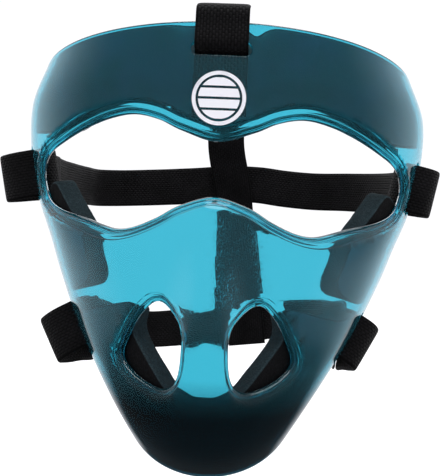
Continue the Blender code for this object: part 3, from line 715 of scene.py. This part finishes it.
elasticFinish = {
    "yarn": (0.0011, 0.0011, 0.0014, 1),
    "yarnWornAndHighlit": (0.0115, 0.0107, 0.0127, 1),  # where the yarn stands proud: paler as real wear where rubbed, and as a painted highlight
    "ribPitch": 0.00140,                      # columns along the strap
    "ribCurve": 0.7,
    "pickPitch": 0.00240,                     # length of a stitch
    "pickCurve": 0.5,
    "selvedge": 0.0016,                       # plain edge
    "selvedgeEnd": 0.0008,                    # where it is flattest, from the strap's edge
    "selvedgeHeight": 0.25,
    "fuzzSize": 2400.0,                       # loose fibres, per metre
    "fuzzHeight": 0.25,                       # by a stitch's height
    "rubbedSize": 60.0,
    "rubbedShare": (0.3, 0.75),
    "rubbed": (0.3, 1.0),
    "depth": 0.00045,
    "roughness": (0.50, 0.75),
    "specular": 0.10,
    "sheen": 0.03,
    "sheenRoughness": 0.4,
}


def makeElasticMaterial():
    finish = elasticFinish
    material, tree, shader = newMaterial("black_elastic")

    def arches(value):
        return calculate(tree, "ABSOLUTE", calculate(tree, "SINE", multiply(tree, value, math.pi)))

    strap = addNode(tree, "SeparateXYZ", {0: addNode(tree, "TexCoord").outputs["UV"]}).outputs
    beside, along = strap[0], strap[1]
    column = calculate(tree, "DIVIDE", beside, finish["ribPitch"])
    # every other column starts half a stitch on
    odd = calculate(tree, "FLOORED_MODULO", calculate(tree, "FLOOR", column), 2.0)
    pick = calculate(tree, "DIVIDE", along, finish["pickPitch"])
    pick = calculate(tree, "ADD", pick, multiply(tree, odd, 0.5))
    ribs = calculate(tree, "POWER", arches(column), finish["ribCurve"])
    picks = calculate(tree, "POWER", arches(pick), finish["pickCurve"])
    half = strapForm["width"] / 2
    edge = (half - finish["selvedge"], half - finish["selvedgeEnd"])
    flat = spread(tree, calculate(tree, "ABSOLUTE", beside), edge, (1.0, finish["selvedgeHeight"]))
    weave = multiply(tree, multiply(tree, ribs, picks), flat)
    place = objectPlace(tree)
    fuzz = noise(tree, place, finish["fuzzSize"], 4.0)
    rubbed = noise(tree, place, finish["rubbedSize"], 5.0)
    height = calculate(tree, "ADD", weave, multiply(tree, fuzz, finish["fuzzHeight"]))
    # raised stitches paler: painted highlight, and real wear where rubbed
    pale = multiply(tree, weave, spread(tree, rubbed, finish["rubbedShare"], finish["rubbed"]))
    setInputs(tree, shader, {
        "Base Color": mixColours(tree, pale, finish["yarn"], finish["yarnWornAndHighlit"]),
        "Roughness": spread(tree, fuzz, noiseBulk, finish["roughness"]),
        "Specular IOR Level": finish["specular"],
        "Sheen Weight": finish["sheen"],
        "Sheen Roughness": finish["sheenRoughness"],
        "Normal": relief(tree, height, finish["depth"]),
    })
    return material


printFinish = {
    "ink": (0.84, 0.84, 0.90, 1),
    "rubbedInk": (0.66, 0.67, 0.74, 1),
    "rubbedSize": 130.0,
    "rubbedShare": (0.55, 0.80),
    "grain": 900.0,
    "depth": 0.00004,
    "strength": 0.5,
    "roughness": (0.30, 0.45),
}


def makePrintMaterial():
    finish = printFinish
    material, tree, shader = newMaterial("white_print")
    place = objectPlace(tree)
    grain = noise(tree, place, finish["grain"], 3.0)
    rubbed = spread(tree, noise(tree, place, finish["rubbedSize"], 6.0), finish["rubbedShare"])
    setInputs(tree, shader, {
        "Base Color": mixColours(tree, rubbed, finish["ink"], finish["rubbedInk"]),
        "Roughness": spread(tree, grain, noiseBulk, finish["roughness"]),
        "Normal": relief(tree, grain, finish["depth"], finish["strength"]),
    })
    return material


# Shell
def rimLoop(cell):
    wide = round(shellForm["width"] * shellForm["girth"] / cell)
    tall = round(shellForm["height"] / cell)
    bottom = [(-1 + 2 * i / wide, 0.0) for i in range(wide)]
    right = [(1.0, j / tall) for j in range(tall)]
    top = [(1 - 2 * i / wide, 1.0) for i in range(wide)]
    left = [(-1.0, 1 - j / tall) for j in range(tall)]
    return evenSpots(np.array(bottom + right + top + left), cell)


def lippedOpenings(cell):  # each opening's edge, with its lip's radius and depth along it
    openings = []
    for outline, (radius, depth), loss in (
        (eyeOutline + mirrored(eyeOutline[1:-1]), shellForm["eyeLip"], shellForm["slimLoss"]),
        (ventOutline, shellForm["ventLip"], 0.0),
        (mirrored(ventOutline), shellForm["ventLip"], 0.0),
    ):
        edge = closedCurve(outline, cell)
        slimmed = 1 - fade(np.abs(edge[:, 0]), shellForm["slimFrom"], shellForm["slimTo"])
        size = 1 - loss * slimmed
        openings.append((edge, radius * size, depth * size))
    return openings


def makeShell(material):
    cell, wall, small = shellForm["cell"], shellForm["wall"], shellForm["edgeRound"]
    plain = edgeProfile(small, wall, wall, shellForm["edgeTurns"])
    rim = rimLoop(cell)
    edges = [(rim, -intoWall(rim), plain, small)]
    for loop, radius, depth in lippedOpenings(cell * shellForm["lipCell"]):
        rolled = edgeProfile(radius, depth, wall, shellForm["lipTurns"])
        edges.append((loop, intoWall(loop), rolled, radius))
    for name, slot in slots.items():
        for side in (1,) if name == "top" else (1, -1):
            loop = slotEdge(slot, side)
            edges.append((loop, intoWall(loop), plain, small))
    starts = [np.stack(besideEdge(edge, into, start), axis=-1) for edge, into, _, start in edges]
    spots, triangles, loops = meshOver(starts[0], starts[1:], cell)
    bm = bmesh.new()
    across, up = spots[:, 0], spots[:, 1]
    front, back = (newVerts(bm, behindFace(across, up, d)) for d in (0.0, wall))
    twoSheets(bm, triangles, front, back)
    for (edge, into, profile, _), loop in zip(edges, loops):
        rings = [newVerts(bm, ring) for ring in edgeRings(edge, into, profile[:-1])]
        joinLoops(bm, [[front[i] for i in loop]] + rings + [[back[i] for i in loop]])
    finishPiece("moulded_shell", bm, material, ["shell"])


# Pads
def padOutlines(cell):
    outlines = {
        "forehead_pad": foreheadOutline + mirrored(foreheadOutline[:-1]) + foreheadNotch,
        "cheek_pad_left": cheekOutline,
        "cheek_pad_right": mirrored(cheekOutline),
        "chin_pad": chinOutline + mirrored(chinOutline[1:]),
    }
    for name, spots in outlines.items():
        edge = straightLoop(spots, cell)
        for _ in range(padForm["cornerTurns"]):
            edge = (np.roll(edge, 1, axis=0) + 2 * edge + np.roll(edge, -1, axis=0)) / 4
        outlines[name] = edge
    return outlines


def liftOverLips(across, up):  # how much deeper a pad lies where it passes behind a lip
    spots = np.stack([across, up], axis=-1)
    lift = np.zeros(len(spots))
    for edge, radius, depth in lippedOpenings(shellForm["guideCell"]):
        nearest, distance = nearestTo(spots, edge)
        distance[insideLoop(spots, edge)] = 0
        radius, depth = radius[nearest], depth[nearest]
        near = fade(distance, radius * padForm["lipCover"], radius * padForm["lipRelease"])
        lift = np.maximum(lift, (depth - shellForm["wall"]) * near)
    return lift


def strapSag():  # how far the brow falls back under half the top strap's width
    top = slots["top"].up
    side, up = walkOnFace(0.0, top, np.array((strapForm["width"] / 2, 0.0, 0.0)))
    return float(faceAt(side, up)[1] - faceAt(0.0, top)[1])


def tailRoom(across, up):  # hollow in the forehead pad for the tail of the top strap
    beside = np.abs(faceAt(across, up)[:, 0])
    below = (slots["top"].up - up) * shellForm["height"]
    deep = 1.0
    for distance, strap in ((beside, strapForm["width"] / 2), (below, strapForm["topTail"])):
        level = strap + padForm["channelSide"]
        deep = deep * fade(distance, level, level + padForm["channelSlope"])
    return (strapForm["thickness"] + strapSag() + strapForm["gap"]) * deep


def paintedLightOn(name, spots):  # how much painted light each spot of the face under the shell gets
    bare = np.zeros(len(spots), bool)
    for lip, _, _ in lippedOpenings(shellForm["guideCell"]):
        bare |= insideLoop(spots, lip) | (distanceTo(spots, lip) < padForm["unlitEdge"])
    film = np.where(bare, 0.0, 1.0)
    # painted shade: the chin pad darker towards the bottom
    if name == "chin_pad":
        least = padForm["lightLeft"]
        held = 1 - fade(spots[:, 1], padForm["shadeTo"], padForm["shadeFrom"])
        film *= least + (1 - least) * held
    return film


def makePad(name, edge, material):
    small, thickness = padForm["edgeRound"], padForm["thickness"]
    into = -intoWall(edge)
    start = np.stack(besideEdge(edge, into, small), axis=-1)
    spots, triangles, loops = meshOver(start, [], padForm["cell"])

    def layers(across, up):  # depths of the face towards the shell and of the one towards the head
        outer = shellForm["wall"] + padForm["glue"][name] + liftOverLips(across, up)
        inner = outer + thickness
        if name == "forehead_pad":
            outer = outer + tailRoom(across, up)
        return outer, inner

    outer, inner = layers(spots[:, 0], spots[:, 1])
    risen = 1 - fade(distanceTo(spots, edge), padForm["crownFrom"], padForm["crownTo"])
    inner = inner + padForm["crown"] * risen
    bm = bmesh.new()
    sideLayer = bm.verts.layers.float_color.new("side")
    front, back = (newVerts(bm, behindFace(spots[:, 0], spots[:, 1], d)) for d in (outer, inner))
    twoSheets(bm, triangles, front, back)
    chain = [[front[i] for i in loops[0]]]
    for beside, depth in edgeProfile(small, thickness, thickness, padForm["edgeTurns"])[:-1]:
        across, up = besideEdge(edge, into, beside)
        outer, inner = layers(across, up)
        chain.append(newVerts(bm, behindFace(across, up, outer + (inner - outer) * depth / thickness)))
    chain.append([back[i] for i in loops[0]])
    joinLoops(bm, chain)
    # red marks the painted light on the face glued under the shell, green the cut sides, which are
    # painted lit, black the face towards the head
    for vert, share in zip(front, paintedLightOn(name, spots)):
        vert[sideLayer] = (share, 0.0, 0.0, 1.0)
    for ring in chain[1:-1]:
        for vert in ring:
            vert[sideLayer] = (0.0, 1.0, 0.0, 1.0)
    for vert in back:
        vert[sideLayer] = (0.0, 0.0, 0.0, 1.0)
    pad = finishPiece(name + "_foam", bm, material, [name])


# Straps
def bandHeight(name):  # of a band's middle, behind the middle of the head
    runs = bandRuns[name]
    rise = smoothThrough([-r.side for r in runs], [r.rise for r in runs], 0.0)
    return float(slotFrame(slots[name], 1)[0][2] + rise * strapForm["width"])


def bandStations(name):  # places along a band from one tail to the other, and which way it is wide
    slot = slots[name]
    pitch = strapForm["thickness"] / 2 + strapForm["gap"]
    start = np.array((0.0, browPlane(), slotFrame(slot, 1)[0][2]))
    reach = np.array((shellForm["width"] / 2, strapForm["headReach"], strapForm["width"]))
    run = [start + np.array(r) * reach for r in bandRuns[name]]
    upright = np.array((0.0, 0.0, 1.0))
    points, widths = [], []
    for side, first in ((1, run[0]), (-1, run[-1])):
        centre, _, _, along = slotFrame(slot, side)
        back = first - centre
        back = unit(back - (back @ along) * along)
        out = np.cross(back, along) * side
        loop, leans = [], []
        for t in loopTurns:
            layer = -1 if t.back > 0 else 0   # the inner layer, or the fold before the slot
            if t.bulged:
                layer = 1
            sink = t.sunk * (strapForm["loopSink"] + shellForm["wall"])
            push = layer * pitch + t.bulged * loopBulge[name, side] - sink
            loop.append(centre + back * t.back * strapForm["loopReach"] + out * push)
            blend = fade(t.back, strapForm["leanStart"], strapForm["leanEnd"])
            leans.append(along * blend + upright * (1 - blend))
        points.append(loop)
        widths.append(leans)
    return points[0] + run + points[1][::-1], widths[0] + [upright] * len(run) + widths[1][::-1]


def topStations():
    slot, sway = slots["top"], strapForm["backSway"]
    thickness, gap = strapForm["thickness"], strapForm["gap"]
    inside = shellForm["wall"] + strapSag() + gap + thickness / 2
    outside = -(gap + thickness / 2)
    tailTurns = -strapForm["topTail"] / shellForm["slotGap"]
    tail = [Thread(tailTurns * share, 1.0) for share in (1.0, 0.5)]
    points = []
    for t in tail + topThread:
        up = slot.up + t.above * shellForm["slotGap"] / shellForm["height"]
        points.append(behindFace(0.0, up, outside + t.sunk * (inside - outside)))
    points.append(behindFace(0.0, 1.0, outside))
    frontY, backY = points[-1][1], browPlane() + strapForm["headReach"]
    for c in crownRun:
        z = shellForm["rimAboveSeat"] + c.rise * strapForm["crownRise"]
        points.append(np.array((c.sway * sway, frontY + c.back * (backY - frontY), z)))
    upper, lower = bandHeight("upper"), bandHeight("lower")
    for d in backDrop:
        z = upper + d.down * (lower - upper) + d.over * strapForm["width"]
        points.append(np.array((d.sway * sway, backY - thickness - 3 * gap, z)))
    return points, [np.array((1.0, 0.0, 0.0))] * len(points)


def strapPath(points, widths):  # even steps along a strap, with the directions across and through
    points, widths = np.array(points), np.array(widths)
    length = lengthAlong(points)
    places = np.linspace(0, length[-1], math.ceil(length[-1] / strapForm["step"]))
    path, across = (
        np.stack([smoothThrough(length, rows[:, k], places) for k in range(3)], axis=-1)
        for rows in (points, widths)
    )
    along = unit(np.gradient(path, places, axis=0))
    across = unit(across - (across * along).sum(axis=1, keepdims=True) * along)
    return places, path, across, np.cross(along, across)


def makeStrap(name, stations, material):
    places, path, across, through = strapPath(*stations)
    half = strapForm["profile"]
    beside = np.array([-b for b in half[:0:-1]] + list(half))
    full = np.sqrt(1 - np.abs(beside) ** strapForm["flatness"])
    profile = list(zip(beside, full)) + list(zip(beside[-2:0:-1], -full[-2:0:-1]))
    bm = bmesh.new()
    uvLayer = bm.loops.layers.uv.new("strap")
    flat, rings = {}, []
    across = across * strapForm["width"] / 2
    through = through * strapForm["thickness"] / 2
    for place, p, w, t in zip(places, path, across, through):
        ring = newVerts(bm, [p + b * w + f * t for b, f in profile])
        for vert, (b, _) in zip(ring, profile):
            flat[vert] = (b * strapForm["width"] / 2, place)
        rings.append(ring)
    joinLoops(bm, rings)
    bm.faces.new(rings[0])
    bm.faces.new(rings[-1])
    for face in bm.faces:
        for corner in face.loops:
            corner[uvLayer].uv = flat[corner.vert]
    finishPiece(name + "_elastic", bm, material, [name])


# Printed disc on the forehead: a ring round plain level bars
discForm = {
    "up": 0.83,
    "radius": 0.0120,
    "ring": 0.0017,
    "space": 0.0011,
    "bars": 4,
    "thickness": 0.00012,
    "clear": 0.00002,     # under the ink
    "barReach": 0.985,    # by the radius inside: the first and last bar end short of it
    "ringSteps": 96,
    "barSteps": (12, 25),
}


def printPatch(bm, rows):  # rows of flat places laid on the face, as a film's top and low points
    rows = np.array(rows)
    flat = rows.reshape(-1, 2)
    vectors = np.stack([flat[:, 0], np.zeros(len(flat)), flat[:, 1]], axis=-1)
    across, up = walkOnFace(np.zeros(len(flat)), np.full(len(flat), discForm["up"]), vectors)
    layers = []
    for depth in (-discForm["thickness"], -discForm["clear"]):
        verts = newVerts(bm, behindFace(across, up, depth))
        layers.append(np.array(verts).reshape(rows.shape[:2]))
    return layers


def closePatch(bm, layers, wraps):  # wraps: each row is a ring
    top, low = layers
    rows, columns = top.shape
    last = columns if wraps else columns - 1
    for i in range(rows - 1):
        for j in range(last):
            k = (j + 1) % columns
            bm.faces.new((top[i, j], top[i, k], top[i + 1, k], top[i + 1, j]))
            bm.faces.new((low[i, j], low[i + 1, j], low[i + 1, k], low[i, k]))
    for j in range(last):
        k = (j + 1) % columns
        bm.faces.new((top[0, j], low[0, j], low[0, k], top[0, k]))
        bm.faces.new((top[-1, j], top[-1, k], low[-1, k], low[-1, j]))
    if not wraps:
        for i in range(rows - 1):
            bm.faces.new((top[i, 0], top[i + 1, 0], low[i + 1, 0], low[i, 0]))
            bm.faces.new((top[i, -1], low[i, -1], low[i + 1, -1], top[i + 1, -1]))


def makeDisc(material):
    bm = bmesh.new()
    radius, ring, space, bars = (discForm[key] for key in ("radius", "ring", "space", "bars"))
    turns = np.linspace(0, 2 * math.pi, discForm["ringSteps"], endpoint=False)
    circle = np.stack([np.cos(turns), np.sin(turns)], axis=-1)
    closePatch(bm, printPatch(bm, [circle * r for r in np.linspace(radius - ring, radius, 3)]), True)
    inner = radius - ring - space
    reach = inner * discForm["barReach"]
    tall = (2 * inner - (bars - 1) * space) / bars
    rowSteps, columnSteps = discForm["barSteps"]
    for bar in range(bars):
        low = -inner + bar * (tall + space)
        heights = np.linspace(max(low, -reach), min(low + tall, reach), rowSteps)
        sides = np.linspace(-1, 1, columnSteps)
        rows = [[(s * math.sqrt(inner**2 - z**2), z) for s in sides] for z in heights]
        closePatch(bm, printPatch(bm, rows), False)
    finishPiece("printed_disc", bm, material, [])


# Stage, light and camera
stageForm = {
    "floor": -0.26,
    "size": 8.0,
    "colour": (0.93, 0.93, 0.94, 1),
    "roughness": 0.9,
    "glow": 0.52,
}


def makeStage():
    half = stageForm["size"] / 2
    corners = ((-half, -half), (half, -half), (half, half), (-half, half))
    bm = bmesh.new()
    bm.faces.new(newVerts(bm, [(x, y, stageForm["floor"]) for x, y in corners]))
    material, tree, shader = newMaterial("pale_floor")
    setInputs(tree, shader, {
        "Base Color": stageForm["colour"],
        "Roughness": stageForm["roughness"],
        "Emission Color": stageForm["colour"],
        "Emission Strength": stageForm["glow"],
    })
    floor = addMesh("floor", bm, material)
    floor.visible_glossy = False        # the shell mirrors and shows the plain studio only
    floor.visible_transmission = False


def frameMatrix(right, up, back, place):
    return Matrix([[right[k], up[k], back[k], place[k]] for k in range(3)] + [[0, 0, 0, 1]])


worldLight = {
    "behind": 1.06,               # all round behind the mask
    "front": 0.27,                # above and before it
    "low": 0.05,                  # below and before it
    "rise": (-0.45, 0.10),        # how high the one gives way to the other
    "turn": (-0.30, 0.40),        # and how far back both give way to behind
    "tilt": 2.6,                  # further back the lower it is
    "colour": (0.975, 0.975, 1.0, 1),
}
lightAim = (0.0, 0.02, -0.06)
areaLights = {  # place, size and power of the soft boxes
    "top_box": ((0.05, -0.10, 1.15), 1.1, 10.0),
    "left_box": ((1.05, -0.65, 0.35), 0.8, 3.0),
    "right_box": ((-1.05, -0.65, 0.35), 0.8, 3.0),
}


def makeLight():
    world = bpy.data.worlds.new("studio")
    bpy.context.scene.world = world
    world.use_nodes = True
    tree = world.node_tree
    direction = addNode(tree, "SeparateXYZ", {0: addNode(tree, "TexCoord").outputs["Generated"]})
    y, z = direction.outputs[1], direction.outputs[2]
    before = spread(tree, z, worldLight["rise"], (worldLight["low"], worldLight["front"]))
    below = calculate(tree, "MINIMUM", z, 0.0)
    share = calculate(tree, "MULTIPLY_ADD", below, worldLight["tilt"], y)
    difference = calculate(tree, "SUBTRACT", worldLight["behind"], before)
    behind = multiply(tree, spread(tree, share, worldLight["turn"]), difference)
    strength = calculate(tree, "ADD", before, behind)
    setInputs(tree, tree.nodes["Background"], {"Color": worldLight["colour"], "Strength": strength})
    for name, (place, size, power) in areaLights.items():
        light = bpy.data.lights.new(name, "AREA")
        light.shape, light.size, light.energy = "DISK", size, power
        lamp = addObject(name, light)
        # the outlines of the side boxes would show in the shell's faces
        lamp.visible_glossy = name == "top_box"
        lamp.visible_transmission = name == "top_box"
        back = unit(np.array(place) - np.array(lightAim))
        right = unit(np.cross((0.0, 1.0, 0.0), back))
        lamp.matrix_world = frameMatrix(right, np.cross(back, right), back, place)


photoView = {
    "distance": 0.413,             # from the brow
    "azimuth": math.radians(2.8),  # towards +X
    "height": -0.060,
    "beside": 0.0033,
    "roll": math.radians(2.6),
    "lens": 71.24,                 # on a 36 mm sensor along the long side
    "nearest": 0.01,
}


def makeCamera():
    camera = addObject("camera", bpy.data.cameras.new("camera"))
    camera.data.sensor_fit = "AUTO"
    camera.data.lens = photoView["lens"]
    camera.data.clip_start = photoView["nearest"]
    azimuth, roll = photoView["azimuth"], photoView["roll"]
    right = np.array((math.cos(azimuth), math.sin(azimuth), 0.0))
    back = np.array((math.sin(azimuth), -math.cos(azimuth), 0.0))
    up = np.array((0.0, 0.0, 1.0))
    place = back * photoView["distance"] + right * photoView["beside"]
    place += np.array((0.0, browPlane(), photoView["height"]))
    rolledRight = right * math.cos(roll) + up * math.sin(roll)
    rolledUp = up * math.cos(roll) - right * math.sin(roll)
    camera.matrix_world = frameMatrix(rolledRight, rolledUp, back, place)
    bpy.context.scene.camera = camera


lightPaths = {"max_bounces": 20, "transmission_bounces": 16, "glossy_bounces": 8, "diffuse_bounces": 5}


def setRender():
    scene = bpy.context.scene
    scene.view_settings.view_transform = "Standard"
    scene.view_settings.look = "None"
    for name, count in lightPaths.items():
        setattr(scene.cycles, name, count)
    scene.cycles.use_denoising = True


makeShell(makeShellMaterial())
print("shell moulded")
foam = makeFoamMaterial()
for name, edge in padOutlines(padForm["cell"]).items():
    makePad(name, edge, foam)
print("pads cut")
elastic = makeElasticMaterial()
for name in ("upper", "lower"):
    makeStrap(name + "_strap", bandStations(name), elastic)
makeStrap("top_strap", topStations(), elastic)
print("straps threaded")
makeDisc(makePrintMaterial())
print("disc printed")
makeStage()
makeLight()
makeCamera()
setRender()
print("stage, light and camera set")
